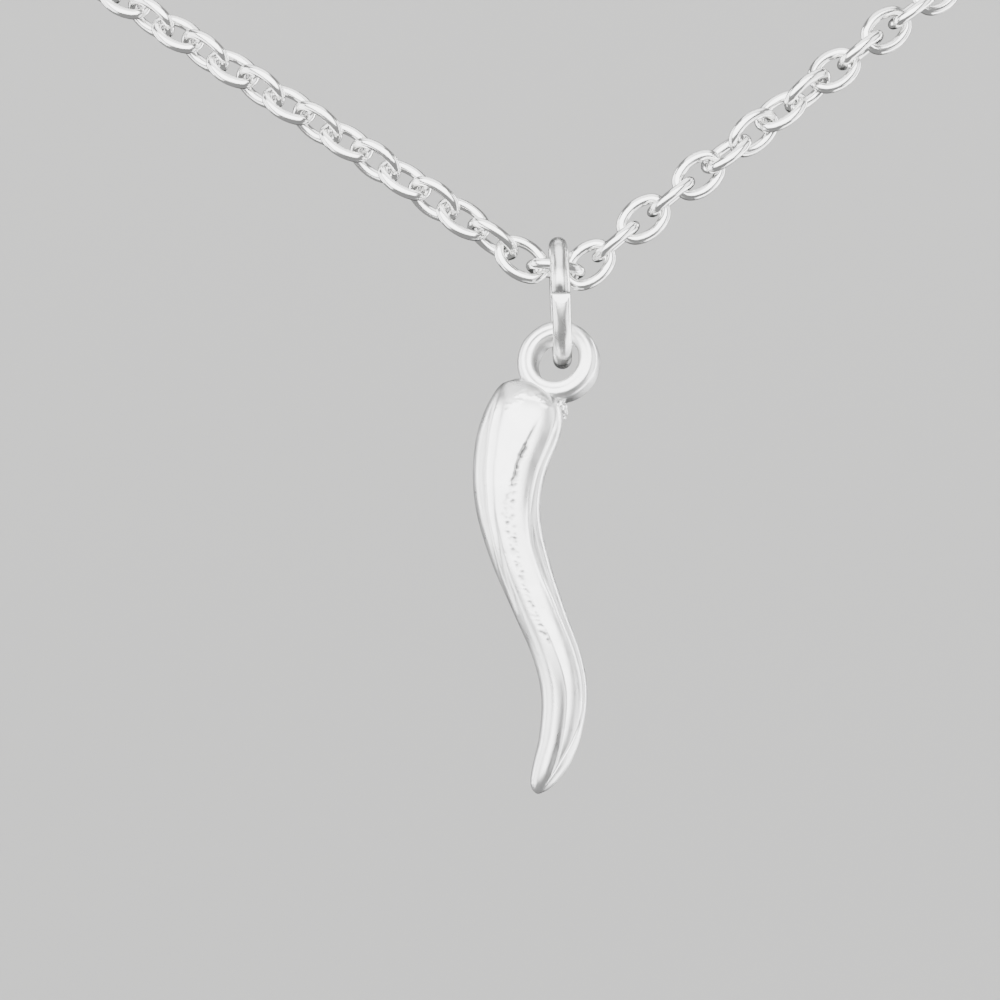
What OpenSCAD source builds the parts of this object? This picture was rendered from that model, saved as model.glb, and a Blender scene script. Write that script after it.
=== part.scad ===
// Cornicello horn pendant on its necklace, hanging as it is worn, in millimetres.
// The origin is at the nape, where the clasp sits. +X is to the right seen from the front,
// +Y points to the back and +Z up, so the horn hangs in front at low Y and low Z.

/* [Horn] */
// Length of the horn from the top of its head to its tip
horn_l = 22.2; // [16:0.1:32]
// Width across the head, the widest place
horn_w = 4.5; // [3.4:0.1:6]
// Thickness from front to back at the head
horn_t = 3.7; // [2.8:0.1:5]
// Sideways travel of the curved middle line
horn_sway = 3; // [1.5:0.1:4.5]
// Lean of the whole horn to the left below its eye
horn_lean = 2.3; // [0:0.1:5]
// Depth of the flute that runs down the front of the lower half
flute_depth = 0.16; // [0.05:0.01:0.3]

/* [Eye] */
// Outer diameter of the ring cast on the horn's head
eye_od = 4.4; // [3.8:0.05:5.5]
// Bore of that ring
eye_bore = 2.5; // [2.45:0.05:3]
// Thickness of that ring along its bore
eye_t = 1.8; // [1.2:0.05:1.9]
// Turn of the ring's face to the left
eye_turn = 14; // [0:1:16]
// Tilt of the ring's face upwards
eye_tilt = 9; // [0:1:10]
// Bevel of the ring's outer edges
eye_bevel = 0.3; // [0.1:0.05:0.4]

/* [Jump ring] */
// Outer diameter of the jump ring
jump_od = 7.1; // [6.8:0.05:8.5]
// Wire of the jump ring
jump_wire = 1; // [0.7:0.05:1]
// Width of its cut
jump_cut = 0.12; // [0.05:0.01:0.3]

/* [Chain] */
// Outer length of a link
link_l = 3.22; // [3.1:0.02:4]
// Outer width of a link
link_w = 2.36; // [2.3:0.02:2.8]
// Wire of a link
link_wire = 0.58; // [0.45:0.01:0.62]
// Gap left between neighbouring links
link_gap = 0.12; // [0.1:0.01:0.2]

/* [Necklace] */
// Width of the loop from side to side
loop_w = 128; // [110:1:150]
// Depth of the loop from nape to front
loop_d = 126; // [110:1:150]
// Height of the nape above the point that the two arms aim at
loop_drop = 93; // [75:1:110]
// Depth of the dip that the horn's weight pulls into the front
front_dip = 0.4; // [0:0.05:0.6]
// Roll of the links on the left arm
left_arm_roll = 45; // [30:1:50]
// Roll of the links on the right arm
right_arm_roll = 90; // [60:1:95]
// Tilt of the middle link that carries the jump ring
middle_tilt = 10; // [7:1:13]

/* [Clasp] */
// Outer diameter of the plain clasp ring
clasp_od = 6; // [5:0.1:8]
// Wire of the clasp ring
clasp_wire = 1.2; // [0.8:0.05:1.4]
// Outer diameter of the eye soldered to the clasp ring
clasp_eye_od = 2.8; // [2.6:0.05:3.4]
// Outer diameter of the end ring that the clasp closes on
end_ring_od = 4; // [3.6:0.05:5]
// Wire of the clasp's eye and of the end ring
small_wire = 0.6; // [0.5:0.05:0.65]

/* [Hidden] */
$fn = 48;

// Width, sway and thickness of the horn down its length: each row holds a place as a share of
// horn_l, half the width as a share of horn_w / 2, the middle line as a share of horn_sway and
// half the thickness as a share of horn_t / 2
DOWN = 0;
WIDTH = 1;
SWAY = 2;
DEPTH = 3;
horn_rows = [
  [0.002, 0.12, 0.22, 0.12],
  [0.014, 0.43, 0.22, 0.42],
  [0.048, 0.77, 0.28, 0.74],
  [0.096, 0.96, 0.26, 0.94],
  [0.150, 0.99, 0.17, 1.00],
  [0.240, 0.86, 0.02, 0.98],
  [0.330, 0.76, 0.02, 0.94],
  [0.440, 0.70, 0.22, 0.86],
  [0.560, 0.63, 0.55, 0.78],
  [0.670, 0.59, 0.87, 0.72],
  [0.760, 0.55, 1.00, 0.67],
  [0.860, 0.50, 0.93, 0.60],
  [0.930, 0.44, 0.77, 0.50],
  [0.970, 0.32, 0.64, 0.37],
  [0.990, 0.18, 0.57, 0.21],
  [0.998, 0.06, 0.54, 0.07]
];
// Rings between two rows, and points round a ring
ring_steps = 3;
ring_points = 40;
// Squareness of the cross-section: broad flats on the upper half, rounder towards the tip
square_top = 2.6;
square_tip = 2.1;
// The flute: where it starts and is deepest, its place across the front and its width in degrees
flute_from = 0.58;
flute_full = 0.76;
flute_end = 0.97;
flute_lean = [-16, -4, 9];
flute_width = 24;

// Where the head lies from the point that the eye hangs about, and how far from that point the
// middle of the eye's bore sits to the left and to the back
head_side = 2.28;
head_drop = 0.86;
eye_side = 0.2;
eye_back = 0.05;
// Leftover casting metal on the head's right shoulder
web_d = 1;
web_side = 0;
web_drop = 2.4;

// Clearance where the jump ring hangs on the middle link, how far it hangs to the right of that
// link's middle, and how far the eye's middle lies below its wire
seat_gap = 0.1;
jump_side = 0.17;
eye_seat = 0.15;

// Links that lie flat at the start of the right arm, and links over which a roll changes: on the
// right arm, on the left one and at the nape. Then the roll of the middle link
flat_links = 4;
roll_links = 8;
left_roll_links = 4;
end_roll_links = 12;
middle_roll = -8;

// Degrees round the loop over which the dip at the front fades
dip_reach = 3;

// Half way between two neighbouring wires lies a pivot, and a ring reaches this far past it
function past(wire) = (wire + link_gap) / 2;
pitch = link_l - link_wire - 2 * past(link_wire);
link_r = (link_w - link_wire) / 2;

// The middle line of the necklace at t degrees round from the front, 0 at the front and 180 or
// -180 at the nape
function loop_point(t) = [
  loop_w / 2 * sin(t),
  -loop_d / 2 * (1 + cos(t)),
  -loop_drop * (1 - sin(abs(t) / 2)) - front_dip * exp(-abs(t) / dip_reach)
];
function loop_rise(t) =
  loop_drop / 2 * cos(t / 2) + front_dip / dip_reach * exp(-abs(t) / dip_reach) * 180 / PI;
function loop_speed(t) =
  norm([loop_w / 2 * cos(t), loop_d / 2 * sin(t), loop_rise(t)]) * PI / 180;

// Slope of the arms at the front. The wires at the middle link's two ends lie on the arms, and
// the arms start a little inside them
arm_slope = loop_rise(0) / (loop_w / 2);
half_span = (link_l - link_wire) * cos(middle_tilt) / 2;
span_shift = (link_l - link_wire) * sin(middle_tilt) / arm_slope / 2;
t_right_wire = asin((half_span - span_shift) / (loop_w / 2));
t_left_wire = -asin((half_span + span_shift) / (loop_w / 2));
t_right = t_right_wire - past(link_wire) / loop_speed(t_right_wire);
t_left = t_left_wire + past(link_wire) / loop_speed(t_left_wire);

// The closure at the nape: the clasp ring is centred on the origin, its eye on its left side
// holds the last link there, and the end ring joins it to the last link of the right arm
clasp_r = (clasp_od - clasp_wire) / 2;
clasp_eye_r = (clasp_eye_od - small_wire) / 2;
end_ring_r = (end_ring_od - small_wire) / 2;
clasp_pivot = [clasp_r - past(clasp_wire), 0, 0];
eye_pivot = [-clasp_r - 2 * clasp_eye_r + past(small_wire), 0, 0];
end_ring_span = 2 * (end_ring_r - past(small_wire));
end_ring_x = clasp_pivot.x + end_ring_span;
t_right_end = 180 - asin(end_ring_x / (loop_w / 2));
t_left_end = -180 - asin(eye_pivot.x / (loop_w / 2));

// Length of an arm between two places, and the number of whole links that fill it
function arm_length(from, to, parts = 240) = let (step = (to - from) / parts)
  abs(step) * sum([for (i = [0 : parts - 1]) loop_speed(from + (i + 0.5) * step)]);
function sum(values, i = 0) = i < len(values) ? values[i] + sum(values, i + 1) : 0;
right_length = arm_length(t_right, t_right_end);
left_length = arm_length(t_left, t_left_end);
right_links = ceil(right_length / pitch);
left_links = ceil(left_length / pitch);

// Next place on the loop, one link further on
function stepped(t, reach) = t + reach / loop_speed(t + reach / loop_speed(t) / 2);
function places(t, reach, count) = [
  for (i = 0, at = t; i <= count; at = stepped(at, reach), i = i + 1) at
];
right_pivots = [
  for (t = places(t_right, right_length / right_links, right_links)) loop_point(t)
];
left_places = places(t_left, -left_length / left_links, left_links);
left_pivots = [
  for (i = [0 : left_links]) i < left_links ? loop_point(left_places[i]) : eye_pivot
];

// The links roll a quarter turn from one to the next. On top of that each arm lies rolled by its
// own value, the first links of the right arm lie flat, and the last ones turn to meet the clasp
function ramp(x, low, high) = min(max((x - low) / (high - low), 0), 1);
function right_roll(k) = let (
    last = right_links % 2 == 1 ? 0 : 90,
    arm = right_arm_roll * ramp(k, flat_links, flat_links + roll_links),
    end = ramp(k, right_links - end_roll_links, right_links)
  ) 90 * k + arm * (1 - end) + last * end;
function left_roll(k) = let (
    last = left_links % 2 == 0 ? 0 : -90,
    arm = middle_roll - (left_arm_roll + middle_roll) * ramp(k, 0, left_roll_links),
    end = ramp(k, left_links - end_roll_links, left_links)
  ) -90 * k + arm * (1 - end) + last * end;

// The middle link, the jump ring's middle below it and the horn's hinge at the bottom wire
middle = (loop_point(t_right_wire) + loop_point(t_left_wire)) / 2;
jump_r = (jump_od - jump_wire) / 2;
jump_reach = jump_r - jump_wire / 2 - link_wire / 2 - seat_gap;
wire_y = link_r * cos(middle_roll);
wire_z = link_r * abs(sin(middle_roll));
jump_drop = sqrt(jump_reach * jump_reach - wire_y * wire_y) - wire_z;
jump_centre = [middle.x + jump_side, -loop_d, middle.z - jump_drop];
horn_hinge = jump_centre - [0, 0, jump_r];
eye_centre = horn_hinge - [0, 0, eye_seat];

// Value of one column of the rows at a place between them, on a smooth curve through the rows
function row_at(i) = horn_rows[min(max(i, 0), len(horn_rows) - 1)];
function slope_at(i, column) =
  (row_at(i + 1)[column] - row_at(i - 1)[column]) / (row_at(i + 1)[DOWN] - row_at(i - 1)[DOWN]);
function between(i, f, column) = let (
    a = row_at(i), b = row_at(i + 1), run = b[DOWN] - a[DOWN],
    low = slope_at(i, column) * run, high = slope_at(i + 1, column) * run,
    rise = b[column] - a[column]
  ) a[column] + f * low + f * f * (3 * rise - 2 * low - high) + f * f * f * (low + high - 2 * rise);

// Distance of the skin from the middle line at an angle, as shares of half width and thickness
function flute(down, angle) = let (
    depth = ramp(down, flute_from, flute_full) * (1 - ramp(down, flute_full, flute_end) / 2),
    place = lookup(down, [
      [flute_from, flute_lean[0]], [flute_full, flute_lean[1]], [flute_end, flute_lean[2]]
    ]),
    off = (angle - place) / flute_width
  ) flute_depth * depth * exp(-off * off * 2);
function squareness(down) = square_top + (square_tip - square_top) * ramp(down, 0.4, 0.75);
function skin(down, half_w, half_t, angle) = let (
    n = squareness(down),
    full = pow(pow(abs(sin(angle)), n) + pow(abs(cos(angle)), n), -1 / n),
    near = min(half_w, half_t),
    cut = flute(down, angle) / max(near, flute_depth * 4)
  ) full * (1 - cut) * [half_w * sin(angle), -half_t * cos(angle)];
function horn_ring(i, f) = let (
    down = row_at(i)[DOWN] + f * (row_at(i + 1)[DOWN] - row_at(i)[DOWN]),
    half_w = horn_w / 2 * between(i, f, WIDTH),
    half_t = horn_t / 2 * between(i, f, DEPTH),
    side = horn_sway * between(i, f, SWAY)
  ) [for (k = [0 : ring_points - 1])
      let (at = skin(down, half_w, half_t, k * 360 / ring_points - 180))
        [side + at.x, at.y, -horn_l * down]];

// The horn's body, its head's top at height 0 and the leftmost place of its middle line at 0
module horn_body() {
  rings = concat(
    [for (i = [0 : len(horn_rows) - 2], s = [0 : ring_steps - 1]) horn_ring(i, s / ring_steps)],
    [horn_ring(len(horn_rows) - 2, 1)]
  );
  last = len(rings) - 1;
  head = [horn_sway * row_at(0)[SWAY], 0, 0];
  tip = [horn_sway * row_at(len(horn_rows) - 1)[SWAY], 0, -horn_l];
  points = concat([head], [for (ring = rings) each ring], [tip]);
  function at(j, k) = 1 + j * ring_points + (k % ring_points);
  polyhedron(points, concat(
    [for (k = [0 : ring_points - 1]) [0, at(0, k + 1), at(0, k)]],
    [for (j = [0 : last - 1], k = [0 : ring_points - 1]) each [
      [at(j, k), at(j + 1, k + 1), at(j + 1, k)],
      [at(j, k), at(j, k + 1), at(j + 1, k + 1)]
    ]],
    [for (k = [0 : ring_points - 1]) [len(points) - 1, at(last, k), at(last, k + 1)]]
  ));
}

// The ring cast on the head, round the Y axis, with bevelled edges
module eye() {
  bore = eye_bore / 2;
  rim = eye_od / 2;
  half = eye_t / 2;
  lip = eye_bevel / 2;
  rotate([90, 0, 0]) rotate_extrude() polygon([
    [bore, -half + lip], [bore + lip, -half], [rim - eye_bevel, -half],
    [rim - eye_bevel / 3, -half + eye_bevel / 3], [rim, -half + eye_bevel],
    [rim, half - eye_bevel], [rim - eye_bevel / 3, half - eye_bevel / 3],
    [rim - eye_bevel, half], [bore + lip, half], [bore, half - lip]
  ]);
}

// The horn with its eye, one casting
module horn() {
  color("gainsboro") translate(eye_centre) rotate([0, horn_lean, 0]) {
    translate([-eye_side, eye_back, 0]) rotate([-eye_tilt, 0, -eye_turn]) eye();
    translate([-head_side - horn_sway * row_at(0)[SWAY], 0, -head_drop]) horn_body();
    translate([web_side, 0, -web_drop]) sphere(d = web_d);
  }
}

// A ring bent from round wire, in the XY plane, open by a cut that faces the -X side
module wire_ring(r, wire, cut) {
  half = asin(cut / 2 / r);
  rotate([0, 0, 180 + half]) rotate_extrude(angle = 360 - 2 * half) translate([r, 0])
    circle(d = wire);
}

// The jump ring, upright from front to back, its cut close to half height at the front
module jump_ring() {
  cut_rise = 1;
  color("silver") translate(jump_centre) rotate([0, 90, 0]) rotate([0, 0, 90 - cut_rise])
    wire_ring(jump_r, jump_wire, jump_cut);
}

// A link: two half rings and two straight sides, long way along X, flat in the XY plane
module link() {
  side = (link_l - link_w) / 2;
  for (turn = [0, 180], bend = [true, false]) rotate([0, 0, turn]) {
    if (bend) translate([side, 0, 0]) rotate([0, 0, -90]) rotate_extrude(angle = 180)
      translate([link_r, 0]) circle(d = link_wire);
    else translate([-side, link_r, 0]) rotate([0, 90, 0]) cylinder(d = link_wire, h = 2 * side);
  }
}

// Lays what follows between two pivots, its X axis from the first to the second
module between_pivots(from, to, roll) {
  way = to - from;
  translate((from + to) / 2) rotate([0, -asin(way.z / norm(way)), atan2(way.y, way.x)])
    rotate([roll, 0, 0]) children();
}

// The right arm of the chain, from the middle link's neighbour up to the end ring
module chain_right() {
  color("silver") for (k = [1 : right_links])
    between_pivots(right_pivots[k - 1], right_pivots[k], right_roll(k)) link();
}

// The left arm of the chain, from the middle link, which carries the jump ring, to the clasp
module chain_left() {
  color("silver") for (k = [0 : left_links])
    between_pivots(
      k == 0 ? loop_point(t_left_wire) : left_pivots[k],
      k == 0 ? loop_point(t_right_wire) : left_pivots[k - 1],
      left_roll(k)
    ) link();
}

// The small ring between the last link of the right arm and the clasp, lying level
module end_ring() {
  color("silver") between_pivots(clasp_pivot, right_pivots[right_links], 0)
    rotate_extrude() translate([end_ring_r, 0]) circle(d = small_wire);
}

// The clasp, one plain ring with a small eye soldered on, flat against the nape
module clasp() {
  color("silver") rotate([90, 0, 0]) {
    rotate_extrude() translate([clasp_r, 0]) circle(d = clasp_wire);
    translate([-clasp_r - clasp_eye_r, 0, 0]) rotate_extrude() translate([clasp_eye_r, 0])
      circle(d = small_wire);
  }
}

horn();
jump_ring();
chain_left();
chain_right();
end_ring();
clasp();
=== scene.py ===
"""Cornicello horn pendant on its cable chain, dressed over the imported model, in metres."""

import math

import bpy
import numpy as np
from mathutils import Matrix, Vector

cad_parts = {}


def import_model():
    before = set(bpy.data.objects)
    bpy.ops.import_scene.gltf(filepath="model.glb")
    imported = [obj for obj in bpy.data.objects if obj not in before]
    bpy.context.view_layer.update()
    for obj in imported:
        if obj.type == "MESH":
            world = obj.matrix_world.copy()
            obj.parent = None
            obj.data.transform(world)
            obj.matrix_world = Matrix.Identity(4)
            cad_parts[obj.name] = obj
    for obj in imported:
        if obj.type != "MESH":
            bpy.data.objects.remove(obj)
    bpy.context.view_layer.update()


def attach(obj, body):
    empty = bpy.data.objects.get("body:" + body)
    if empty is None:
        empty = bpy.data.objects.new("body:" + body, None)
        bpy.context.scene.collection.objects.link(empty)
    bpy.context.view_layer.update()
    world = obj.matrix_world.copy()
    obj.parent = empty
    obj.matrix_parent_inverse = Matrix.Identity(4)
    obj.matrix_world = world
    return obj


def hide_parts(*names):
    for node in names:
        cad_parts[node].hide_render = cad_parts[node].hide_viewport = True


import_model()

MM = 0.001
TAU = 2 * math.pi

# Camera: the picture's middle lies at TARGET, and the picture is turned by ROLL degrees
TARGET = Vector((-3.75, -126.0, -104.64)) * MM
DISTANCE = 200 * MM
ELEVATION = -5.0
FIELD = 53.4 * MM
ROLL = 2.3
SENSOR_WIDTH = 36
CLIP_START = 0.005
CLIP_END = 20

# Sizes of the pieces in millimetres and degrees, the same as in the part's source
HORN_L = 22.2
HORN_W = 4.5
HORN_T = 3.7
HORN_SWAY = 3.0
HORN_LEAN = 2.3
FLUTE_DEPTH = 0.16
HEAD_SIDE = 2.28
HEAD_DROP = 0.86
EYE_OD = 4.4
EYE_BORE = 2.5
EYE_T = 1.8
EYE_TURN = 14.0
EYE_TILT = 9.0
EYE_SIDE = 0.2
EYE_BACK = 0.05
EYE_SEAT = 0.15
JUMP_OD = 7.1
JUMP_WIRE = 1.0
JUMP_CUT = 0.12
CUT_RISE = 1.0
JUMP_SIDE = 0.17
SEAT_GAP = 0.1
LINK_L = 3.22
LINK_W = 2.36
LINK_WIRE = 0.58
LINK_GAP = 0.12
LOOP_W = 128.0
LOOP_D = 126.0
LOOP_DROP = 93.0
FRONT_DIP = 0.4
DIP_REACH = 3.0
LEFT_ARM_ROLL = 45.0
RIGHT_ARM_ROLL = 90.0
MIDDLE_TILT = 10.0
MIDDLE_ROLL = -8.0
CLASP_OD = 6.0
CLASP_WIRE = 1.2
CLASP_EYE_OD = 2.8
END_RING_OD = 4.0
SMALL_WIRE = 0.6

# Links over which an arm keeps or changes its roll
FLAT_LINKS = 4
ROLL_LINKS = 8
LEFT_ROLL_LINKS = 4
END_ROLL_LINKS = 12


# Plain functions
def sind(a):
    return math.sin(math.radians(a))


def cosd(a):
    return math.cos(math.radians(a))


def asind(a):
    return math.degrees(math.asin(a))


def ramp(x, low, high):
    """0 below low, 1 above high and straight between, for one number."""
    return min(max((x - low) / (high - low), 0.0), 1.0)


def bump(x, width):
    return np.exp(-((x / width) ** 2))


def smooth(x, low, high):
    """0 below low, 1 above high and rounded between, for numbers and arrays."""
    t = np.clip((x - low) / (high - low), 0, 1)
    return t * t * (3 - 2 * t)


def band(x, low, high, soft):
    return smooth(x, low - soft, low + soft) * (1 - smooth(x, high - soft, high + soft))


def curve(pairs):
    xs, ys = zip(*pairs)
    return lambda x: np.interp(x, xs, ys)


def make_camera():
    data = bpy.data.cameras.new("camera")
    cam = bpy.data.objects.new("camera", data)
    bpy.context.scene.collection.objects.link(cam)
    back = Vector((0, -cosd(ELEVATION), sind(ELEVATION)))
    cam.location = TARGET + back * DISTANCE
    look = (-back).to_track_quat("-Z", "Y").to_matrix()
    turn = look @ Matrix.Rotation(math.radians(-ROLL), 3, "Z")
    cam.rotation_mode = "QUATERNION"
    cam.rotation_quaternion = turn.to_quaternion()
    data.sensor_width = SENSOR_WIDTH
    data.lens = SENSOR_WIDTH * DISTANCE / FIELD
    data.clip_start = CLIP_START
    data.clip_end = CLIP_END
    bpy.context.scene.camera = cam


make_camera()


# Route of the chain: t is 0 degrees at the front and 180 at the nape
def loop_point(t):
    dip = FRONT_DIP * math.exp(-abs(t) / DIP_REACH)
    return np.array(
        (
            LOOP_W / 2 * sind(t),
            -LOOP_D / 2 * (1 + cosd(t)),
            -LOOP_DROP * (1 - sind(abs(t) / 2)) - dip,
        )
    )


def loop_rise(t):
    """Climb of the route for each radian."""
    dip = FRONT_DIP / DIP_REACH * math.exp(-abs(t) / DIP_REACH)
    return LOOP_DROP / 2 * cosd(t / 2) + math.degrees(dip)


def loop_speed(t):
    """Length of the route for each degree."""
    across = LOOP_W / 2 * cosd(t)
    back = LOOP_D / 2 * sind(t)
    return math.radians(math.sqrt(across**2 + back**2 + loop_rise(t) ** 2))


def past(wire):
    """From the middle of a wire to the pivot, halfway into the gap to its neighbour's wire."""
    return (wire + LINK_GAP) / 2


PITCH = LINK_L - LINK_WIRE - 2 * past(LINK_WIRE)
LINK_R = (LINK_W - LINK_WIRE) / 2
HALF_SPAN = (LINK_L - LINK_WIRE) * cosd(MIDDLE_TILT) / 2
SPAN_SHIFT = (LINK_L - LINK_WIRE) * sind(MIDDLE_TILT) / (loop_rise(0) / (LOOP_W / 2)) / 2
T_RIGHT_WIRE = asind((HALF_SPAN - SPAN_SHIFT) / (LOOP_W / 2))
T_LEFT_WIRE = -asind((HALF_SPAN + SPAN_SHIFT) / (LOOP_W / 2))
T_RIGHT = T_RIGHT_WIRE - past(LINK_WIRE) / loop_speed(T_RIGHT_WIRE)
T_LEFT = T_LEFT_WIRE + past(LINK_WIRE) / loop_speed(T_LEFT_WIRE)

CLASP_R = (CLASP_OD - CLASP_WIRE) / 2
CLASP_EYE_R = (CLASP_EYE_OD - SMALL_WIRE) / 2
END_RING_R = (END_RING_OD - SMALL_WIRE) / 2
CLASP_PIVOT = np.array((CLASP_R - past(CLASP_WIRE), 0, 0))
EYE_PIVOT = np.array((-CLASP_R - 2 * CLASP_EYE_R + past(SMALL_WIRE), 0, 0))
END_RING_X = CLASP_PIVOT[0] + 2 * (END_RING_R - past(SMALL_WIRE))
T_RIGHT_END = 180 - asind(END_RING_X / (LOOP_W / 2))
T_LEFT_END = -180 - asind(EYE_PIVOT[0] / (LOOP_W / 2))
ARM_PARTS = 240


def arm_length(start, end):
    step = (end - start) / ARM_PARTS
    return abs(step) * sum(loop_speed(start + (i + 0.5) * step) for i in range(ARM_PARTS))


def places(t, reach, count):
    """Angles of the pivots along an arm, each one reach further."""
    found = [t]
    for _ in range(count):
        middle = t + reach / loop_speed(t) / 2
        t = t + reach / loop_speed(middle)
        found.append(t)
    return found


RIGHT_LENGTH = arm_length(T_RIGHT, T_RIGHT_END)
LEFT_LENGTH = arm_length(T_LEFT, T_LEFT_END)
RIGHT_LINKS = math.ceil(RIGHT_LENGTH / PITCH)
LEFT_LINKS = math.ceil(LEFT_LENGTH / PITCH)
RIGHT_PIVOTS = [loop_point(t) for t in places(T_RIGHT, RIGHT_LENGTH / RIGHT_LINKS, RIGHT_LINKS)]
LEFT_PIVOTS = [loop_point(t) for t in places(T_LEFT, -LEFT_LENGTH / LEFT_LINKS, LEFT_LINKS)]
LEFT_PIVOTS[-1] = EYE_PIVOT


def right_roll(k):
    last = 0 if RIGHT_LINKS % 2 == 1 else 90
    arm = RIGHT_ARM_ROLL * ramp(k, FLAT_LINKS, FLAT_LINKS + ROLL_LINKS)
    end = ramp(k, RIGHT_LINKS - END_ROLL_LINKS, RIGHT_LINKS)
    return 90 * k + arm * (1 - end) + last * end


def left_roll(k):
    last = 0 if LEFT_LINKS % 2 == 0 else -90
    arm = MIDDLE_ROLL - (LEFT_ARM_ROLL + MIDDLE_ROLL) * ramp(k, 0, LEFT_ROLL_LINKS)
    end = ramp(k, LEFT_LINKS - END_ROLL_LINKS, LEFT_LINKS)
    return -90 * k + arm * (1 - end) + last * end


MIDDLE = (loop_point(T_RIGHT_WIRE) + loop_point(T_LEFT_WIRE)) / 2
JUMP_R = (JUMP_OD - JUMP_WIRE) / 2
JUMP_REACH = JUMP_R - JUMP_WIRE / 2 - LINK_WIRE / 2 - SEAT_GAP
SEAT_SIDE = LINK_R * cosd(MIDDLE_ROLL)
JUMP_DROP = math.sqrt(JUMP_REACH**2 - SEAT_SIDE**2) - LINK_R * abs(sind(MIDDLE_ROLL))
JUMP_CENTRE = np.array((MIDDLE[0] + JUMP_SIDE, -LOOP_D, MIDDLE[2] - JUMP_DROP))
HORN_HINGE = JUMP_CENTRE - (0, 0, JUMP_R)
EYE_CENTRE = HORN_HINGE - (0, 0, EYE_SEAT)


# Mesh helpers
def rot(axis, degrees):
    return np.array(Matrix.Rotation(math.radians(degrees), 3, axis))


def make_object(name, points, faces, body, material, relief=None):
    """A mesh of points in millimetres, smooth shaded, riding on a body."""
    mesh = bpy.data.meshes.new(name)
    mesh.from_pydata((np.asarray(points) * MM).tolist(), [], faces)
    mesh.polygons.foreach_set("use_smooth", [True] * len(mesh.polygons))
    # the relief values hold painted shade and painted reflection, read by the material
    if relief is not None:
        layer = mesh.attributes.new("relief", "FLOAT", "POINT")
        layer.data.foreach_set("value", np.asarray(relief, np.float32))
    mesh.materials.append(material)
    mesh.update()
    obj = bpy.data.objects.new(name, mesh)
    bpy.context.scene.collection.objects.link(obj)
    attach(obj, body)
    return obj


def grid_faces(rows, columns, close_rows=False, start=0):
    """Quads of a grid whose columns close on themselves, and its rows too if asked."""
    faces = []
    for i in range(rows if close_rows else rows - 1):
        this = start + i * columns
        following = start + (i + 1) % rows * columns
        for k in range(columns):
            n = (k + 1) % columns
            faces.append((this + k, this + n, following + n, following + k))
    return faces


def shifted(faces, by):
    return [tuple(by + v for v in face) for face in faces]


def between_pivots(start, end, roll):
    """Turn and place that lay a piece along X between two pivots."""
    way = end - start
    length = np.linalg.norm(way)
    turn = (
        rot("Z", math.degrees(math.atan2(way[1], way[0])))
        @ rot("Y", -asind(way[2] / length))
        @ rot("X", roll)
    )
    return turn, (start + end) / 2


# Chain links
LINK_SIDES = 14
END_STEPS = 12
SIDE_STEPS = 7
# Radius of a link's rounded ends as a share of half its width
END_SHARE = 0.84
# Share of its thickness by which the wire is drawn flat on four sides
WIRE_FLAT = 0.015
# Most degrees by which one link is turned out of line, and the seeds of these turns
LOOSE_ROLL = 1.2
LEFT_SEED = 7
RIGHT_SEED = 11


def link_template():
    """One link along X, flat in the XY plane: an oval of four arcs of round wire."""
    end_r = END_SHARE * LINK_R
    end_x = (LINK_L - LINK_WIRE) / 2 - end_r
    side_r = (end_x**2 + LINK_R**2 - end_r**2) / (LINK_R - end_r) / 2
    side_y = LINK_R - side_r
    join = math.degrees(math.atan2(-side_y, end_x))
    arcs = (
        (end_x, 0, end_r, -join, join, END_STEPS),
        (0, side_y, side_r, join, 180 - join, SIDE_STEPS),
        (-end_x, 0, end_r, 180 - join, 180 + join, END_STEPS),
        (0, -side_y, side_r, 180 + join, 360 - join, SIDE_STEPS),
    )
    up = np.array((0, 0, 1))
    points = []
    for x, y, r, start, end, steps in arcs:
        for i in range(steps):
            a = start + (end - start) * i / steps
            out = np.array((cosd(a), sind(a), 0))
            at = np.array((x, y, 0)) + r * out
            for s in range(LINK_SIDES):
                b = TAU * (s + 0.5) / LINK_SIDES
                wire = LINK_WIRE / 2 * (1 - WIRE_FLAT + WIRE_FLAT * math.cos(4 * b))
                points.append(at + wire * (math.cos(b) * out + math.sin(b) * up))
    return np.array(points), grid_faces(2 * (END_STEPS + SIDE_STEPS), LINK_SIDES, True)


LINK_POINTS, LINK_FACES = link_template()


def chain(name, seed, spans, material):
    """The links of one node: each span holds two pivots and a roll."""
    rng = np.random.default_rng(seed)
    points, faces = [], []
    for start, end, roll in spans:
        loose = rng.uniform(-LOOSE_ROLL, LOOSE_ROLL)
        turn, place = between_pivots(start, end, roll + loose)
        faces += shifted(LINK_FACES, len(points) * len(LINK_POINTS))
        points.append(LINK_POINTS @ turn.T + place)
    obj = make_object(name + "_links", np.concatenate(points), faces, "chain", material)
    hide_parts(name)


# Jump ring
JUMP_STEPS = 180
JUMP_SIDES = 40
# At the cut the wire is squared and widened, over this many steps from the lower end
CUT_SQUARE = 2.8
CUT_SWELL = 1.04
SWELL_STEPS = 10
# The bevel: its height in millimetres, its half width in sides and its length in steps
BEVEL_HEIGHT = 0.42
BEVEL_CORNER = 6
BEVEL_STEPS = 14
# Painted shade on the cut's faces and on the edge above it, in the gap between the ends
CUT_PAINTED_SHADE = 0.8
EDGE_PAINTED_SHADE = 0.5
EDGE_REACH = 0.07
MOST_DARK = 0.98
# A painted reflection of the dark gap, above the cut: its darkness, place and reach in millimetres
GAP_PAINTED_REFLECTION = 1.3
GAP_REFLECTION_UP = 0.17
GAP_REFLECTION_UP_REACH = 0.26
GAP_REFLECTION_SIDE = -0.06
GAP_REFLECTION_SIDE_REACH = 0.28


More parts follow.
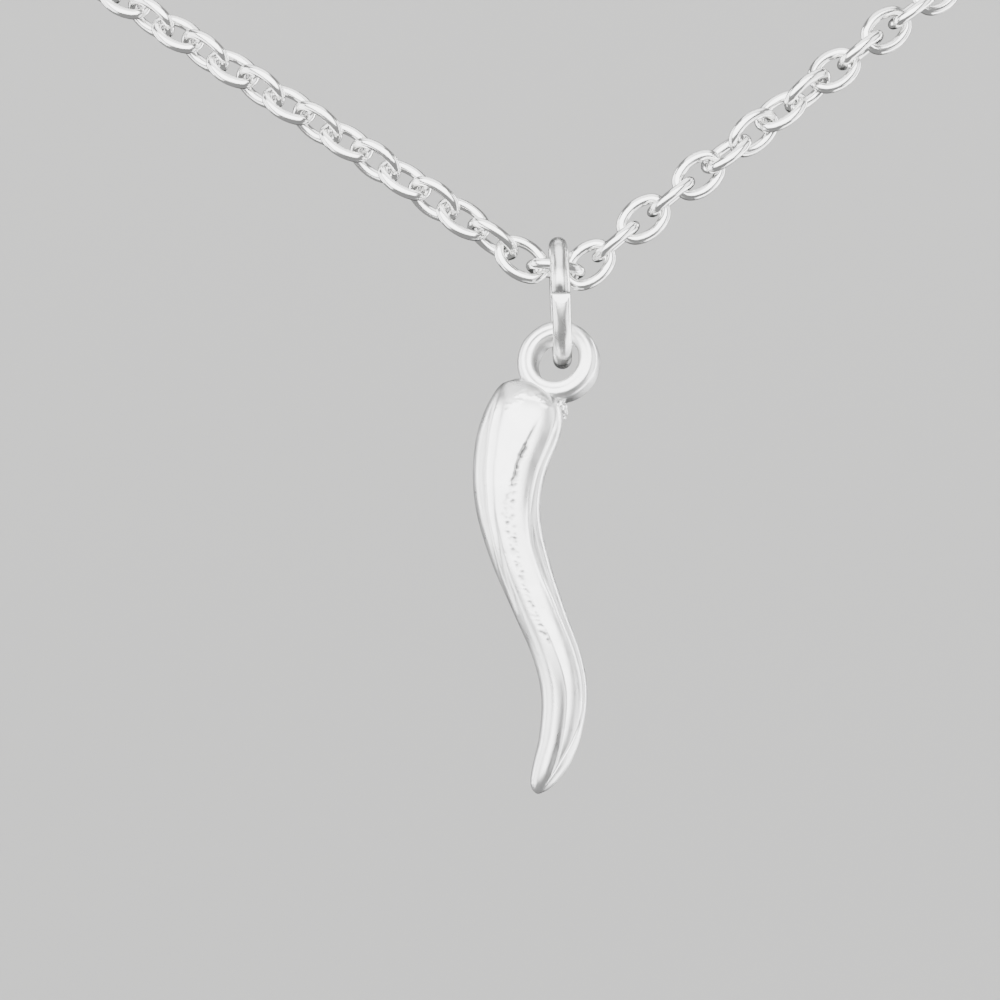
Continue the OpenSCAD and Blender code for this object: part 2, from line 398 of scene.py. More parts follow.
def ring_points(r, wire, start, end, steps, sides, swell=None, shear=None):
    """An open ring in the XY plane from one angle to another, in degrees."""
    points = []
    for i in range(steps + 1):
        a = math.radians(start + (end - start) * i / steps)
        for s in range(sides):
            b = TAU * s / sides
            thick = wire / 2 * (1 if swell is None else swell(i, b))
            out, across = thick * math.cos(b), thick * math.sin(b)
            c = a + (0 if shear is None else shear(i, out))
            points.append(((r + out) * math.cos(c), (r + out) * math.sin(c), across))
    return np.array(points)


def jump_marks():
    """Painted shade on the wire's skin: a painted reflection of the gap on the front of the upper
    end, and painted shade at its edge.
    """
    marks = []
    for i in range(JUMP_STEPS + 1):
        up = (JUMP_STEPS - i) * TAU * JUMP_R / JUMP_STEPS
        high = GAP_PAINTED_REFLECTION * bump(up - GAP_REFLECTION_UP, GAP_REFLECTION_UP_REACH)
        for s in range(JUMP_SIDES):
            b = TAU * s / JUMP_SIDES
            across = JUMP_WIRE / 2 * math.sin(b)
            painted_gap_reflection = high * bump(across - GAP_REFLECTION_SIDE, GAP_REFLECTION_SIDE_REACH) * (math.cos(b) > 0)
            marks.append(float(min(MOST_DARK, painted_gap_reflection + EDGE_PAINTED_SHADE * bump(up, EDGE_REACH))))
    return marks


def jump_ring(material):
    """The bent ring with its cut: the lower end has a bevel that faces up and to the front."""
    half = math.degrees(JUMP_CUT / 2 / JUMP_R)

    def swell(i, b):
        # the pliers have left the lower end a little wide and square
        powers = abs(math.cos(b)) ** CUT_SQUARE + abs(math.sin(b)) ** CUT_SQUARE
        full = powers ** (-1 / CUT_SQUARE)
        return 1 + (CUT_SWELL * full - 1) * max(0.0, 1 - i / SWELL_STEPS)

    corner = TAU * BEVEL_CORNER / JUMP_SIDES
    edge = JUMP_WIRE / 2 * swell(0, corner) * math.cos(corner)
    bevel = BEVEL_HEIGHT / JUMP_R / (JUMP_WIRE / 2 * swell(0, 0) - edge)

    def shear(i, out):
        return bevel * max(0.0, out - edge) * max(0.0, 1 - i / BEVEL_STEPS)

    points = ring_points(
        JUMP_R, JUMP_WIRE, half, 360 - half, JUMP_STEPS, JUMP_SIDES, swell, shear
    )
    faces = grid_faces(JUMP_STEPS + 1, JUMP_SIDES)
    marks = jump_marks()
    # the end faces have points of their own, so their edges stay sharp
    outer = [s % JUMP_SIDES for s in range(-BEVEL_CORNER, BEVEL_CORNER + 1)]
    inner = list(range(BEVEL_CORNER, JUMP_SIDES - BEVEL_CORNER + 1))
    upper = [JUMP_STEPS * JUMP_SIDES + s for s in range(JUMP_SIDES)]
    # the cut faces in the gap get painted shade, the outer bevel face none
    for corners, dark in ((outer[::-1], 0.0), (inner[::-1], CUT_PAINTED_SHADE), (upper, CUT_PAINTED_SHADE)):
        faces.append(tuple(len(points) + k for k in range(len(corners))))
        points = np.concatenate((points, points[corners]))
        marks += [dark] * len(corners)
    # angle 0 is the cut; it faces the front and the ring runs down from it
    turn = np.array(((0, 0, 1), (-1, 0, 0), (0, -1, 0)))
    placed = points @ rot("Z", -CUT_RISE).T @ turn.T + JUMP_CENTRE
    obj = make_object("jump_ring_wire", placed, faces, "jump_ring", material, marks)
    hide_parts("jump_ring")


# Closed rings at the nape: steps round each ring and sides round its wire
END_RING_GRID = (72, 20)
CLASP_GRID = (96, 28)
CLASP_EYE_GRID = (64, 20)


def closed_ring(r, wire, grid):
    steps, sides = grid
    points = ring_points(r, wire, 0, 360 - 360 / steps, steps - 1, sides)
    return points, grid_faces(steps, sides, True)


def end_ring(material):
    turn, place = between_pivots(CLASP_PIVOT, RIGHT_PIVOTS[-1], 0)
    points, faces = closed_ring(END_RING_R, SMALL_WIRE, END_RING_GRID)
    obj = make_object("end_ring_wire", points @ turn.T + place, faces, "chain", material)
    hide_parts("end_ring")


def clasp(material):
    """The clasp ring, upright at the nape, with its soldered eye on the left."""
    body, faces = closed_ring(CLASP_R, CLASP_WIRE, CLASP_GRID)
    eye, eye_faces = closed_ring(CLASP_EYE_R, SMALL_WIRE, CLASP_EYE_GRID)
    eye = eye + (-CLASP_R - CLASP_EYE_R, 0, 0)
    points = np.concatenate((body, eye)) @ rot("X", 90).T
    faces = faces + shifted(eye_faces, len(body))
    obj = make_object("clasp_ring", points, faces, "chain", material)
    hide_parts("clasp")


# The horn's form
# Down the horn as a share of its length: half width, middle line and half thickness as shares
HORN_ROWS = np.array(
    (
        (0.002, 0.12, 0.22, 0.12),
        (0.014, 0.43, 0.22, 0.42),
        (0.048, 0.77, 0.28, 0.74),
        (0.096, 0.96, 0.26, 0.94),
        (0.150, 0.99, 0.17, 1.00),
        (0.240, 0.86, 0.02, 0.98),
        (0.330, 0.76, 0.02, 0.94),
        (0.440, 0.70, 0.22, 0.86),
        (0.560, 0.63, 0.55, 0.78),
        (0.670, 0.59, 0.87, 0.72),
        (0.760, 0.55, 1.00, 0.67),
        (0.860, 0.50, 0.93, 0.60),
        (0.930, 0.44, 0.77, 0.50),
        (0.970, 0.32, 0.64, 0.37),
        (0.990, 0.18, 0.57, 0.21),
        (0.998, 0.06, 0.54, 0.07),
    )
)
WIDTH_COLUMN = 1
SWAY_COLUMN = 2
THICK_COLUMN = 3
HORN_RINGS = 410
HORN_SIDES = 196
# How far the points crowd on the front, and the rings at the ends
FRONT_CROWD = 0.4
END_CROWD = 0.3
# Squareness of the section at the head and from three quarters down
HEAD_SQUARE = 2.6
TIP_SQUARE = 2.1
SQUARE_FROM = 0.4
SQUARE_TO = 0.75
# Cosine of the angle round from the front below which the relief fades out
SIDE_FADE = 0.25
# The relief also fades out as the smaller half of the section, in millimetres, goes from the
# second number to the first, and no depth is divided by less than THIN_LEAST
THIN_FADE = (0.1, 1.0)
THIN_LEAST = 0.6

# The relief
# Lines of the relief: place across the front, -1 at the left edge and 1 at the right one
CREASE = curve((
    (0.100, 0.45), (0.144, 0.34), (0.173, 0.27), (0.204, 0.22), (0.240, 0.20), (0.270, 0.14),
    (0.330, 0.00), (0.390, -0.06), (0.450, -0.13), (0.490, -0.20), (0.560, -0.23), (0.660, -0.20),
    (0.760, -0.08), (0.870, -0.03), (0.960, 0.16),
))
LEFT_RIDGE = curve((
    (0.040, -0.74), (0.062, -0.72), (0.192, -0.62), (0.288, -0.58), (0.385, -0.65), (0.480, -0.82),
    (0.553, -0.90), (0.625, -1.00),
))
RIGHT_RIDGE = curve((
    (0.090, 0.80), (0.240, 0.72), (0.310, 0.66), (0.410, 0.50), (0.480, 0.54), (0.540, 0.62),
    (0.600, 0.64), (0.660, 0.66), (0.760, 0.70),
))
RIM_LINE = curve((
    (0.120, 0.95), (0.240, 0.86), (0.360, 0.86), (0.480, 0.88), (0.660, 0.88), (0.800, 0.86),
    (0.837, 0.82), (0.880, 0.66), (0.928, 0.45), (0.970, 0.36),
))
# Stretches down the horn: where each form starts, is whole, starts to end and has ended
CREASE_SPAN = (0.105, 0.14, 0.25, 0.29)
FLUTE_SPAN = (0.60, 0.74, 0.93, 1.0)
TROUGH_SPAN = (0.26, 0.30, 0.60, 0.70)
LEFT_SPAN = (0.045, 0.09, 0.56, 0.66)
RIGHT_SPAN = (0.08, 0.14, 0.75, 0.86)
RIM_SPAN = (0.1, 0.16, 0.95, 0.99)
# Depths in millimetres
CREASE_DEPTH = 0.05
TROUGH_DEPTH = 0.02
LEFT_VALLEY = 0.04
LEFT_RISE = 0.035
LEFT_LINE = 0.02
RIGHT_VALLEY = 0.045
RIGHT_RISE = 0.03
RIM_DEPTH = 0.012
GROOVE_DEPTH = 0.05
RIM_RISE = 0.008
# Painted shade, as a share of the full painted grey tone
CREASE_PAINTED_SHADE = 0.35
FLUTE_PAINTED_SHADE = 0.72
FLUTE_EASE = 0.2
LEFT_VALLEY_PAINTED_SHADE = 0.14
LEFT_LINE_PAINTED_SHADE = 0.30
RIGHT_VALLEY_PAINTED_SHADE = 0.16
RIGHT_LINE_PAINTED_SHADE = 0.2
RIM_PAINTED_SHADE = 0.1
GROOVE_PAINTED_SHADE = 0.5
HEAD_PAINTED_SHADE = 0.5


def horn_value(down, column):
    """One column of the rows at a share of the length, on the source's smooth curve."""
    rows = HORN_ROWS
    last = len(rows) - 1
    i = int(np.clip(np.searchsorted(rows[:, 0], down) - 1, 0, last - 1))

    def slope(j):
        low, high = max(j - 1, 0), min(j + 1, last)
        return (rows[high, column] - rows[low, column]) / (rows[high, 0] - rows[low, 0])

    run = rows[i + 1, 0] - rows[i, 0]
    rise = rows[i + 1, column] - rows[i, column]
    f = (down - rows[i, 0]) / run
    low, high = slope(i) * run, slope(i + 1) * run
    square = 3 * rise - 2 * low - high
    cube = low + high - 2 * rise
    return rows[i, column] + f * low + f * f * square + f**3 * cube


def along(down, span):
    return ramp(down, span[0], span[1]) * (1 - ramp(down, span[2], span[3]))


# Each form gives its depth and its painted shade; at is the place across the front from its own
# line
def crease(down, at):
    """The sharp crease at the top, with a gentle left side and a steep right one."""
    here = along(down, CREASE_SPAN)
    depth = CREASE_DEPTH * here * smooth(at, -0.12, 0.01) * (1 - smooth(at, 0.01, 0.05))
    # the crease is darkened with painted shade
    return depth, CREASE_PAINTED_SHADE * here * bump(at + 0.01, 0.05)


def flute(down, at):
    """The broad flute towards the tip, greyed with painted shade."""
    here = along(down, FLUTE_SPAN)
    depth = FLUTE_DEPTH * here * smooth(at, -0.34, 0.13) * (1 - smooth(at, 0.13, 0.2))
    full = FLUTE_PAINTED_SHADE - FLUTE_EASE * ramp(down, 0.8, 0.9)
    return depth, full * here * smooth(at, -0.4, -0.14) * (1 - smooth(at, 0.1, 0.17))


def trough(down, at):
    """A shallow trough where the crease fades."""
    return TROUGH_DEPTH * along(down, TROUGH_SPAN) * bump(at, 0.12), 0


def left_facet(down, at):
    """A ridge on the left, with a valley on its right and a thin line on its left, both greyed
    with painted shade.
    """
    here = along(down, LEFT_SPAN)
    valley = LEFT_VALLEY * bump(at - 0.12, 0.09)
    ridge = LEFT_RISE * bump(at, 0.05)
    line = LEFT_LINE * bump(at + 0.1, 0.03)
    painted_grey = LEFT_VALLEY_PAINTED_SHADE * band(at, 0.05, 0.2, 0.05) + LEFT_LINE_PAINTED_SHADE * bump(at + 0.09, 0.025)
    return here * (valley - ridge + line), here * painted_grey


def right_facet(down, at):
    """A ridge on the right, with a valley on its right greyed with painted shade, and a thin line
    of painted shade beside it.
    """
    here = along(down, RIGHT_SPAN)
    valley = RIGHT_VALLEY * bump(at - 0.1, 0.08)
    ridge = RIGHT_RISE * bump(at + 0.02, 0.06)
    painted_grey = RIGHT_VALLEY_PAINTED_SHADE * band(at, 0.04, 0.16, 0.05) + RIGHT_LINE_PAINTED_SHADE * bump(at - 0.12, 0.03)
    return here * (valley - ridge), here * painted_grey


def rim(down, at):
    """A thin line along the bright right rim, deeper as a groove near the tip, darkened with
    painted shade.
    """
    here = along(down, RIM_SPAN)
    groove = ramp(down, 0.80, 0.84)
    line = (RIM_DEPTH + GROOVE_DEPTH * groove) * bump(at + 0.05, 0.04)
    ridge = RIM_RISE * bump(at - 0.03, 0.05)
    dark = (RIM_PAINTED_SHADE + GROOVE_PAINTED_SHADE * groove) * bump(at + 0.05, 0.03)
    return here * (line - ridge), here * dark


def head_band(down, u):
    """A darker band of painted shade round the top of the head."""
    return 0, HEAD_PAINTED_SHADE * (1 - smooth(down, 0.04, 0.09)) * (0.6 + 0.4 * smooth(u, -0.6, 0.2))


def relief(down, u):
    """Depth in millimetres below the plain skin at places on the front, and their painted shade.
    """
    forms = (
        crease(down, u - CREASE(down)),
        flute(down, u - CREASE(down)),
        trough(down, u - CREASE(down)),
        left_facet(down, u - LEFT_RIDGE(down)),
        right_facet(down, u - RIGHT_RIDGE(down)),
        rim(down, u - RIM_LINE(down)),
        head_band(down, u),
    )
    return sum(depth for depth, dark in forms), sum(dark for depth, dark in forms)


# Casting pits along the crease: their first place down the horn, the stretch they take, how much
# they crowd at its top, and their two columns beside the crease. Sizes are in millimetres.
PIT_SEED = 3
PIT_COUNT = 170
PIT_FIRST = 0.17
PIT_STRETCH = 0.48
PIT_CROWD = 1.35
PIT_COLUMNS = (-0.11, 0.09)
PIT_SIZES = (0.035, 0.085)
PIT_DEPTHS = (0.012, 0.03)
# Raised spots in an arc round the top of the head
SPOT_COUNT = 64
SPOT_TOP = 0.046
SPOT_ARC = 0.034
SPOT_MIDDLE = 0.14
SPOT_REACH = 0.55
SPOT_SIZES = (0.05, 0.12)
SPOT_HEIGHTS = (0.01, 0.025)
# A few lone pits elsewhere on the skin
LONE_COUNT = 26
LONE_SIZES = (0.03, 0.05)
LONE_DEPTH = 0.012
# Painted shade for each millimetre of depth, so a pit gets darker and a raised spot gets brighter
# as a painted highlight
PIT_PAINTED_SHADE = 14
SPOT_PAINTED_HIGHLIGHT = 30
# Weight of the distance across: under 1 makes a pit wider than it is high
PIT_WIDEN = 0.4


def make_pits():
    """Place down the horn, place across, size and depth of each pit and spot."""
    rng = np.random.default_rng(PIT_SEED)
    pits = []
    for i in range(PIT_COUNT):
        down = PIT_FIRST + PIT_STRETCH * (i / PIT_COUNT) ** PIT_CROWD + rng.normal(0, 0.004)
        apart = ramp(down, 0.22, 0.30) * (1 - 0.6 * ramp(down, 0.38, 0.5))
        column = rng.choice(PIT_COLUMNS) * apart
        u = float(CREASE(down)) + column + rng.normal(0, 0.03)
        size = rng.uniform(*PIT_SIZES)
        depth = rng.uniform(*PIT_DEPTHS) * (1 - 0.4 * ramp(down, 0.4, 0.6))
        pits.append((down, u, size, depth))
    for _ in range(SPOT_COUNT):
        side = rng.uniform(-1, 1)
        down = SPOT_TOP + SPOT_ARC * side * side + rng.normal(0, 0.006)
        size = rng.uniform(*SPOT_SIZES)
        height = rng.uniform(*SPOT_HEIGHTS)
        pits.append((down, SPOT_MIDDLE + SPOT_REACH * side, size, -height))
    for _ in range(LONE_COUNT):
        down = rng.uniform(0.06, 0.9)
        u = rng.uniform(-0.8, 0.8)
        size = rng.uniform(*LONE_SIZES)
        pits.append((down, u, size, LONE_DEPTH))
    return pits


PITS = make_pits()


def pit_marks(down, x, half_w):
    """Depth and painted shade of the casting pits, and painted highlight of the raised spots: x
    holds places across in millimetres.
    """
    depth = np.zeros_like(x)
    dark = np.zeros_like(x)
    for at, u, size, deep in PITS:
        dy = (down - at) * HORN_L
        if abs(dy) < 3 * size:
            dx = x - u * half_w
            here = np.exp(-(PIT_WIDEN * dx * dx + dy * dy) / (size * size))
            depth += deep * here
            dark += (PIT_PAINTED_SHADE if deep > 0 else SPOT_PAINTED_HIGHLIGHT) * deep * here
    return depth, dark


def horn_mesh():
    """The horn's body in its own place: the head's top at height 0."""
    first, last = HORN_ROWS[0, 0], HORN_ROWS[-1, 0]
    even = TAU * np.arange(HORN_SIDES) / HORN_SIDES - math.pi
    a = even - FRONT_CROWD * np.sin(even)
    s, c = np.sin(a), np.cos(a)
    front = np.clip(c / SIDE_FADE, 0, 1)
    points, marks = [], []
    for i in range(HORN_RINGS):
        f = i / (HORN_RINGS - 1)
        eased = 0.5 - 0.5 * math.cos(math.pi * f)
        down = first + (last - first) * ((1 - END_CROWD) * f + END_CROWD * eased)
        half_w = HORN_W / 2 * horn_value(down, WIDTH_COLUMN)
        half_t = HORN_T / 2 * horn_value(down, THICK_COLUMN)
        n = HEAD_SQUARE + (TIP_SQUARE - HEAD_SQUARE) * ramp(down, SQUARE_FROM, SQUARE_TO)
        full = (np.abs(s) ** n + np.abs(c) ** n) ** (-1 / n)
        x, y = full * half_w * s, -full * half_t * c
        depth, dark = relief(down, x / half_w)
        pit, spot = pit_marks(down, x, half_w)
        near = min(half_w, half_t)
        cut = 1 - (depth + pit) * front * ramp(near, *THIN_FADE) / max(near, THIN_LEAST)
        side = HORN_SWAY * horn_value(down, SWAY_COLUMN)
        points.append(np.stack((side + x * cut, y * cut, np.full(HORN_SIDES, -HORN_L * down)), 1))
        # painted shade and highlight, on the front only
        marks.append(np.clip(dark + spot, 0, 1) * front)
    top_point = (HORN_SWAY * HORN_ROWS[0, SWAY_COLUMN], 0, 0)
    tip_point = (HORN_SWAY * HORN_ROWS[-1, SWAY_COLUMN], 0, -HORN_L)
    points.append(np.array((top_point, tip_point)))
    marks.append(np.zeros(2))
    top = HORN_RINGS * HORN_SIDES
    tip = top + 1
    low = top - HORN_SIDES
    faces = grid_faces(HORN_RINGS, HORN_SIDES)
    faces += [(top, (k + 1) % HORN_SIDES, k) for k in range(HORN_SIDES)]
    faces += [(tip, low + k, low + (k + 1) % HORN_SIDES) for k in range(HORN_SIDES)]
    faces = [tuple(reversed(face)) for face in faces]
    return np.concatenate(points), faces, np.concatenate(marks)


# The eye's rim is slightly uneven: waves round it, how deep they dent it in millimetres, and by
# what share they thin it
EYE_SEED = 5
EYE_STEPS = 160
EYE_WAVES = 6
EYE_DENT = 0.018
EYE_THIN = 0.012


def eye_mesh():
    """The ring cast on the head, round the Y axis, with stepped bands on its rim."""
    bore, outer, half = EYE_BORE / 2, EYE_OD / 2, EYE_T / 2
    profile = [
        (bore, 0.0),
        (bore, -half * 0.55),
        (bore + 0.01, -half + 0.16),
        (bore + 0.05, -half + 0.06),
        (bore + 0.14, -half + 0.01),
        (bore + 0.24, -half),
        (bore + 0.36, -half + 0.02),
        (bore + 0.43, -half + 0.06),
        (bore + 0.47, -half + 0.07),
        (bore + 0.55, -half + 0.055),
        (outer - 0.26, -half + 0.09),
        (outer - 0.17, -half + 0.15),
        (outer - 0.13, -half + 0.22),
        (outer - 0.07, -half + 0.28),
        (outer - 0.02, -half + 0.4),
        (outer, -half + 0.55),
        (outer, 0.0),
    ]
    loop = profile + [(r, -y) for r, y in reversed(profile[1:-1])]
    phases = np.random.default_rng(EYE_SEED).uniform(0, TAU, EYE_WAVES)
    points = []
    for i in range(EYE_STEPS):
        a = TAU * i / EYE_STEPS
        waves = sum(math.sin((j + 3) * a + phases[j]) for j in range(EYE_WAVES)) / EYE_WAVES
        uneven = 0.5 + 0.5 * waves
        for r, y in loop:
            reach = r - EYE_DENT * uneven * ramp(r, bore + 0.3, outer)
            points.append((reach * math.cos(a), y * (1 - EYE_THIN * uneven), reach * math.sin(a)))
    return np.array(points), grid_faces(EYE_STEPS, len(loop), True)


# Lumps of leftover casting metal from the eye's middle: place and radius in millimetres
BURR_LUMPS = (
    (-0.30, -0.74, -2.42, 0.15),
    (-0.20, -0.68, -2.64, 0.14),
    (-0.10, -0.20, -2.22, 0.24),
    (0.06, -0.22, -2.48, 0.22),
    (0.17, -0.16, -2.70, 0.13),
    (-0.04, 0.05, -2.62, 0.30),
    (0.09, 0.05, -2.98, 0.11),
)
BURR_SEED = 9
BURR_ROWS = 16
BURR_COLUMNS = 22
BURR_WAVES = 9
BURR_WAVE_SCALE = 3.4
BURR_ROUGH = 0.5
BURR_TALL = (1, 1, 1.45)


def burr_mesh():
    """Leftover casting metal on the head's right shoulder: a few rough lumps."""
    rng = np.random.default_rng(BURR_SEED)
    points, faces = [], []
    for x, y, z, radius in BURR_LUMPS:
        waves = rng.normal(0, 1, (BURR_WAVES, 3)) * BURR_WAVE_SCALE
        shifts = rng.uniform(0, TAU, BURR_WAVES)
        start = len(points)
        for i in range(BURR_ROWS):
            b = math.pi * (i + 0.5) / BURR_ROWS
            for k in range(BURR_COLUMNS):
                a = TAU * k / BURR_COLUMNS
                n = np.array((math.sin(b) * math.cos(a), math.sin(b) * math.sin(a), math.cos(b)))
                # sharp crests where the waves cross zero
                rough = 1 - np.abs(np.sin(waves @ n + shifts)).sum() / (BURR_WAVES / 2)
                reach = radius * (0.95 + BURR_ROUGH * rough)
                points.append(n * reach * BURR_TALL + (x, y, z))
        last = start + (BURR_ROWS - 1) * BURR_COLUMNS
        faces += grid_faces(BURR_ROWS, BURR_COLUMNS, start=start)
        faces.append(tuple(start + k for k in reversed(range(BURR_COLUMNS))))
        faces.append(tuple(last + k for k in range(BURR_COLUMNS)))
    return np.array(points), faces


def horn(material):
    """The casting: the horn, its eye and the burr beside it, as one piece."""
    body, faces, marks = horn_mesh()
    body = body + (-HEAD_SIDE - HORN_SWAY * HORN_ROWS[0, SWAY_COLUMN], 0, -HEAD_DROP)
    eye, eye_faces = eye_mesh()
    eye = eye @ (rot("Z", -EYE_TURN) @ rot("X", -EYE_TILT)).T + (-EYE_SIDE, EYE_BACK, 0)
    burr, burr_faces = burr_mesh()
    faces = faces + shifted(eye_faces, len(body)) + shifted(burr_faces, len(body) + len(eye))
    points = np.concatenate((body, eye, burr)) @ rot("Y", HORN_LEAN).T + EYE_CENTRE
    marks = np.concatenate((marks, np.zeros(len(eye) + len(burr))))
    obj = make_object("horn_cast", points, faces, "horn", material, marks)
    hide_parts("horn")


# Materials: the scales of their noises are counts of features in a metre
CLOUD_SCALE = 420.0
POLISH_SCALE = 1100.0
GRAIN_SCALE = 9000.0
HAIR_SCALE = (9000, 9000, 500)
HAIR_TURN = (0.2, 0.5, 0.3)
BUMP_HEIGHT = 0.00001
NOISE_ROUGHNESS = 0.55
# The stretch of a noise that is spread over a material's own range
NOISE_LOW = 0.3
NOISE_HIGH = 0.7


def new_material(name):
    material = bpy.data.materials.new(name)
    material.use_nodes = True
    nodes = material.node_tree.nodes
    return material, nodes, material.node_tree.links, nodes["Principled BSDF"]


def noise(nodes, links, source, scale, detail):
    node = nodes.new("ShaderNodeTexNoise")
    node.inputs["Scale"].default_value = scale
    node.inputs["Detail"].default_value = detail
    node.inputs["Roughness"].default_value = NOISE_ROUGHNESS
    links.new(source, node.inputs["Vector"])
    return node.outputs["Fac"]


def spread(nodes, links, source, low, high):
    node = nodes.new("ShaderNodeMapRange")
    node.inputs["From Min"].default_value = NOISE_LOW
    node.inputs["From Max"].default_value = NOISE_HIGH
    node.inputs["To Min"].default_value = low
    node.inputs["To Max"].default_value = high
    links.new(source, node.inputs["Value"])
    return node.outputs["Result"]


def bumps(nodes, links, height, strength):
    node = nodes.new("ShaderNodeBump")
    node.inputs["Strength"].default_value = strength
    node.inputs["Distance"].default_value = BUMP_HEIGHT
    links.new(height, node.inputs["Height"])
    return node


def silver(name, bright, dull, rough, grain, scratch, painted_shade_tone=None):
    """Polished or satin silver: cloudy tone, uneven polish, hairlines and fine grain."""
    material, nodes, links, shader = new_material(name)
    shader.inputs["Metallic"].default_value = 1.0
    place = nodes.new("ShaderNodeTexCoord").outputs["Object"]
    cloud = noise(nodes, links, place, CLOUD_SCALE, 4.0)
    tone = nodes.new("ShaderNodeMix")
    tone.data_type = "RGBA"
    tone.inputs["A"].default_value = (*dull, 1)
    tone.inputs["B"].default_value = (*bright, 1)
    links.new(spread(nodes, links, cloud, 0.0, 1.0), tone.inputs["Factor"])
    colour = tone.outputs["Result"]
    # painted shade: the relief marks mix the colour towards a grey tone
    if painted_shade_tone is not None:
        mark = nodes.new("ShaderNodeAttribute")
        mark.attribute_name = "relief"
        dark = nodes.new("ShaderNodeMix")
        dark.data_type = "RGBA"
        dark.inputs["B"].default_value = (painted_shade_tone, painted_shade_tone, painted_shade_tone, 1)
        links.new(colour, dark.inputs["A"])
        links.new(mark.outputs["Fac"], dark.inputs["Factor"])
        colour = dark.outputs["Result"]
    links.new(colour, shader.inputs["Base Color"])
    polish = noise(nodes, links, place, POLISH_SCALE, 3.0)
    links.new(spread(nodes, links, polish, *rough), shader.inputs["Roughness"])
    stretch = nodes.new("ShaderNodeMapping")
    stretch.inputs["Rotation"].default_value = HAIR_TURN
    stretch.inputs["Scale"].default_value = HAIR_SCALE
    links.new(place, stretch.inputs["Vector"])
    hair = noise(nodes, links, stretch.outputs["Vector"], 1.0, 2.0)
    fine = noise(nodes, links, place, GRAIN_SCALE, 2.0)
    lines = bumps(nodes, links, hair, scratch)
    grains = bumps(nodes, links, fine, grain)
    links.new(lines.outputs["Normal"], grains.inputs["Normal"])
    links.new(grains.outputs["Normal"], shader.inputs["Normal"])
    return material


cast_silver = silver(
    "cast_silver",
    bright=(0.93, 0.93, 0.925),
    dull=(0.84, 0.84, 0.84),
    rough=(0.26, 0.38),
    grain=0.35,
    scratch=0.12,
    painted_shade_tone=0.12,
)
wire_silver = silver(
    "wire_silver",
    bright=(0.93, 0.93, 0.92),
    dull=(0.83, 0.83, 0.82),
    rough=(0.2, 0.32),
    grain=0.12,
    scratch=0.25,
    painted_shade_tone=0.02,
)
chain_silver = silver(
    "chain_silver",
    bright=(0.95, 0.95, 0.94),
    dull=(0.86, 0.86, 0.85),
    rough=(0.10, 0.2),
    grain=0.08,
    scratch=0.2,
)

# The pieces
horn(cast_silver)
jump_ring(wire_silver)
middle_span = (loop_point(T_LEFT_WIRE), loop_point(T_RIGHT_WIRE), left_roll(0))
left_spans = [
    (LEFT_PIVOTS[k], LEFT_PIVOTS[k - 1], left_roll(k)) for k in range(1, LEFT_LINKS + 1)
]
right_spans = [
    (RIGHT_PIVOTS[k - 1], RIGHT_PIVOTS[k], right_roll(k)) for k in range(1, RIGHT_LINKS + 1)
]
chain("chain_left", LEFT_SEED, [middle_span] + left_spans, chain_silver)
chain("chain_right", RIGHT_SEED, right_spans, chain_silver)
end_ring(wire_silver)
clasp(wire_silver)

# Studio, in metres
FRONT = (0.0, -0.126, -0.10)
CENTRE = (0.0, -0.063, -0.06)
BOWL_FLOOR = -0.7
BOWL_WALL = 2.2
BOWL_BEND = 0.7
BOWL_TOP = 2.4
BOWL_BEND_STEPS = 12
BOWL_SIDES = 64
BOWL_RINGS = (0.001, 0.5, 1.0)
PAPER_TONE = (0.5, 0.5, 0.495)
PAPER_ROUGHNESS = 0.9
BLACK = (0.01, 0.01, 0.01)
WHITE = (1, 1, 1, 1)
AIR_GLOW = 0.36
# Name, place, target, width, height, watts, and whether reflections see it
LIGHTS = (
    ("softbox_front", (-0.15, -1.1, 0.22), FRONT, 2.0, 1.5, 62, True),
    ("softbox_top", (0.0, -0.2, 1.1), CENTRE, 1.2, 1.2, 14, True),
    ("softbox_left", (-0.95, 0.25, 0.15), FRONT, 0.35, 1.2, 8, True),
    ("softbox_right", (0.85, 0.45, 0.0), FRONT, 0.35, 1.2, 11, True),
    ("wall_wash", (0.0, 0.7, 1.3), (0.0, 2.2, 0.0), 1.6, 0.8, 30, False),
    ("fill_left", (-0.9, -0.3, -0.1), FRONT, 0.5, 1.2, 8, True),
    ("fill_right", (0.9, -0.35, -0.1), FRONT, 0.6, 1.2, 7, True),
    ("softbox_back", (0.0, 1.1, 1.0), CENTRE, 0.9, 0.9, 8, True),
    ("front_wash", (0.0, -0.9, 1.4), (0.0, -2.0, -0.5), 1.6, 0.8, 34, False),
)
# Cards that only reflections see: name, place, width, height and glow
CARDS = (
    ("flag_back", (0.0, 0.5, -0.1), 0.5, 1.4, 0.0),
    ("card_low_right", (0.45, 0.72, -0.42), 0.5, 0.5, 1.8),
    ("card_under", (0.62, 0.05, -0.62), 0.5, 0.7, 5.0),
)


def plain(name, colour):
    material, _, _, shader = new_material(name)
    shader.inputs["Base Color"].default_value = (*colour, 1)
    shader.inputs["Roughness"].default_value = PAPER_ROUGHNESS
    return material


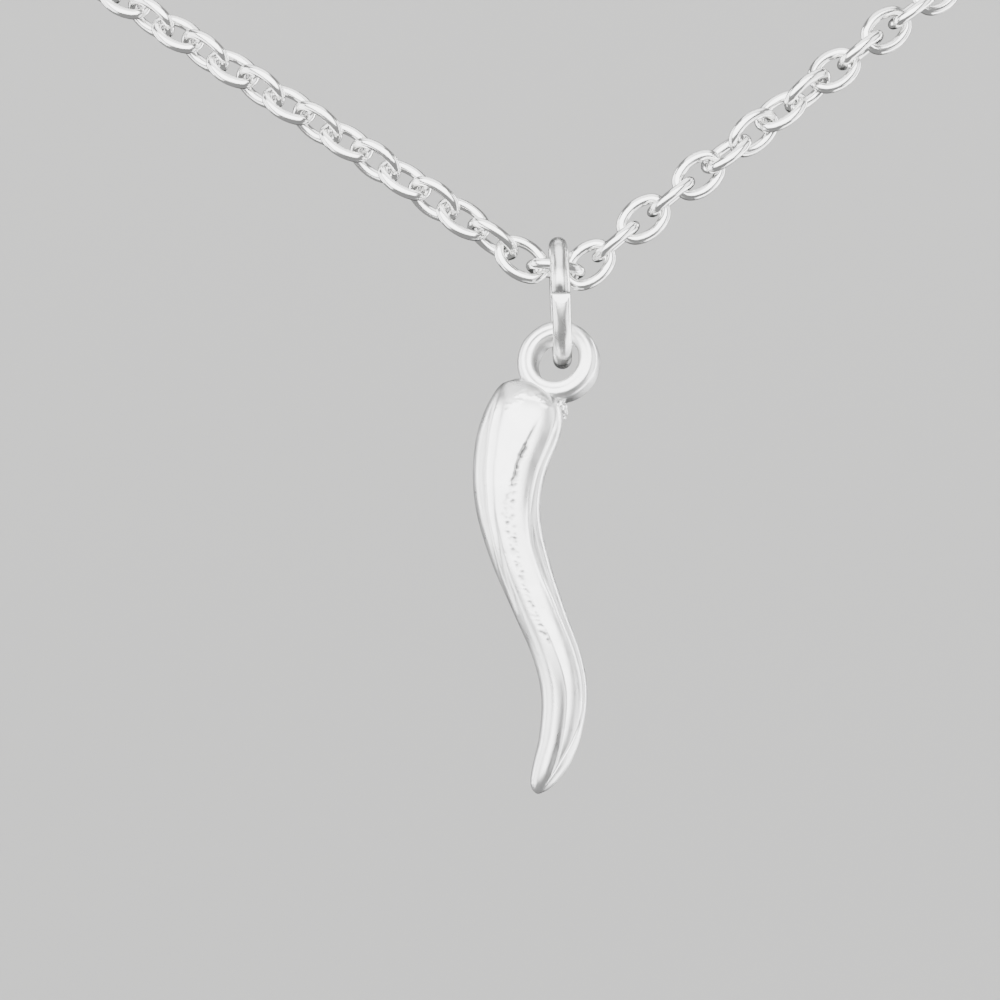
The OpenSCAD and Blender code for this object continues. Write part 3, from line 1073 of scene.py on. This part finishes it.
def studio_bowl():
    """A pale floor that curves up into a wall all round."""
    inner = BOWL_WALL - BOWL_BEND
    profile = [(r, BOWL_FLOOR) for r in (*BOWL_RINGS, inner)]
    for i in range(1, BOWL_BEND_STEPS + 1):
        a = math.pi / 2 * i / BOWL_BEND_STEPS
        height = BOWL_FLOOR + BOWL_BEND - BOWL_BEND * math.cos(a)
        profile.append((inner + BOWL_BEND * math.sin(a), height))
    profile.append((BOWL_WALL, BOWL_TOP))
    points = [
        (r * math.cos(TAU * i / BOWL_SIDES), r * math.sin(TAU * i / BOWL_SIDES), z)
        for r, z in profile
        for i in range(BOWL_SIDES)
    ]
    mesh = bpy.data.meshes.new("studio_bowl")
    faces = grid_faces(len(profile), BOWL_SIDES) + [tuple(range(BOWL_SIDES))]
    mesh.from_pydata(points, [], faces)
    mesh.polygons.foreach_set("use_smooth", [True] * len(mesh.polygons))
    mesh.materials.append(plain("studio_paper", PAPER_TONE))
    obj = bpy.data.objects.new("studio_bowl", mesh)
    obj.visible_glossy = False
    bpy.context.scene.collection.objects.link(obj)


def aim(obj, place, target):
    obj.location = place
    obj.rotation_mode = "QUATERNION"
    obj.rotation_quaternion = (Vector(target) - Vector(place)).to_track_quat("-Z", "Y")


def area_light(name, place, target, width, height, power, glossy):
    data = bpy.data.lights.new(name, "AREA")
    data.shape = "RECTANGLE"
    data.size = width
    data.size_y = height
    data.energy = power
    obj = bpy.data.objects.new(name, data)
    aim(obj, place, target)
    obj.visible_camera = False
    obj.visible_glossy = glossy
    bpy.context.scene.collection.objects.link(obj)


def card(name, place, width, height, glow):
    """A black or glowing card that only reflections see."""
    mesh = bpy.data.meshes.new(name)
    w, h = width / 2, height / 2
    mesh.from_pydata([(-w, -h, 0), (w, -h, 0), (w, h, 0), (-w, h, 0)], [], [(0, 1, 2, 3)])
    material = plain(name, BLACK)
    shader = material.node_tree.nodes["Principled BSDF"]
    shader.inputs["Emission Color"].default_value = WHITE
    shader.inputs["Emission Strength"].default_value = glow
    material.cycles.emission_sampling = "NONE"
    mesh.materials.append(material)
    obj = bpy.data.objects.new(name, mesh)
    aim(obj, place, FRONT)
    obj.visible_camera = False
    obj.visible_shadow = False
    obj.visible_diffuse = False
    bpy.context.scene.collection.objects.link(obj)


def world():
    sky = bpy.data.worlds.new("studio_air")
    sky.use_nodes = True
    background = sky.node_tree.nodes["Background"]
    background.inputs["Color"].default_value = WHITE
    background.inputs["Strength"].default_value = AIR_GLOW
    bpy.context.scene.world = sky


studio_bowl()
world()
for light in LIGHTS:
    area_light(*light)
for one in CARDS:
    card(*one)
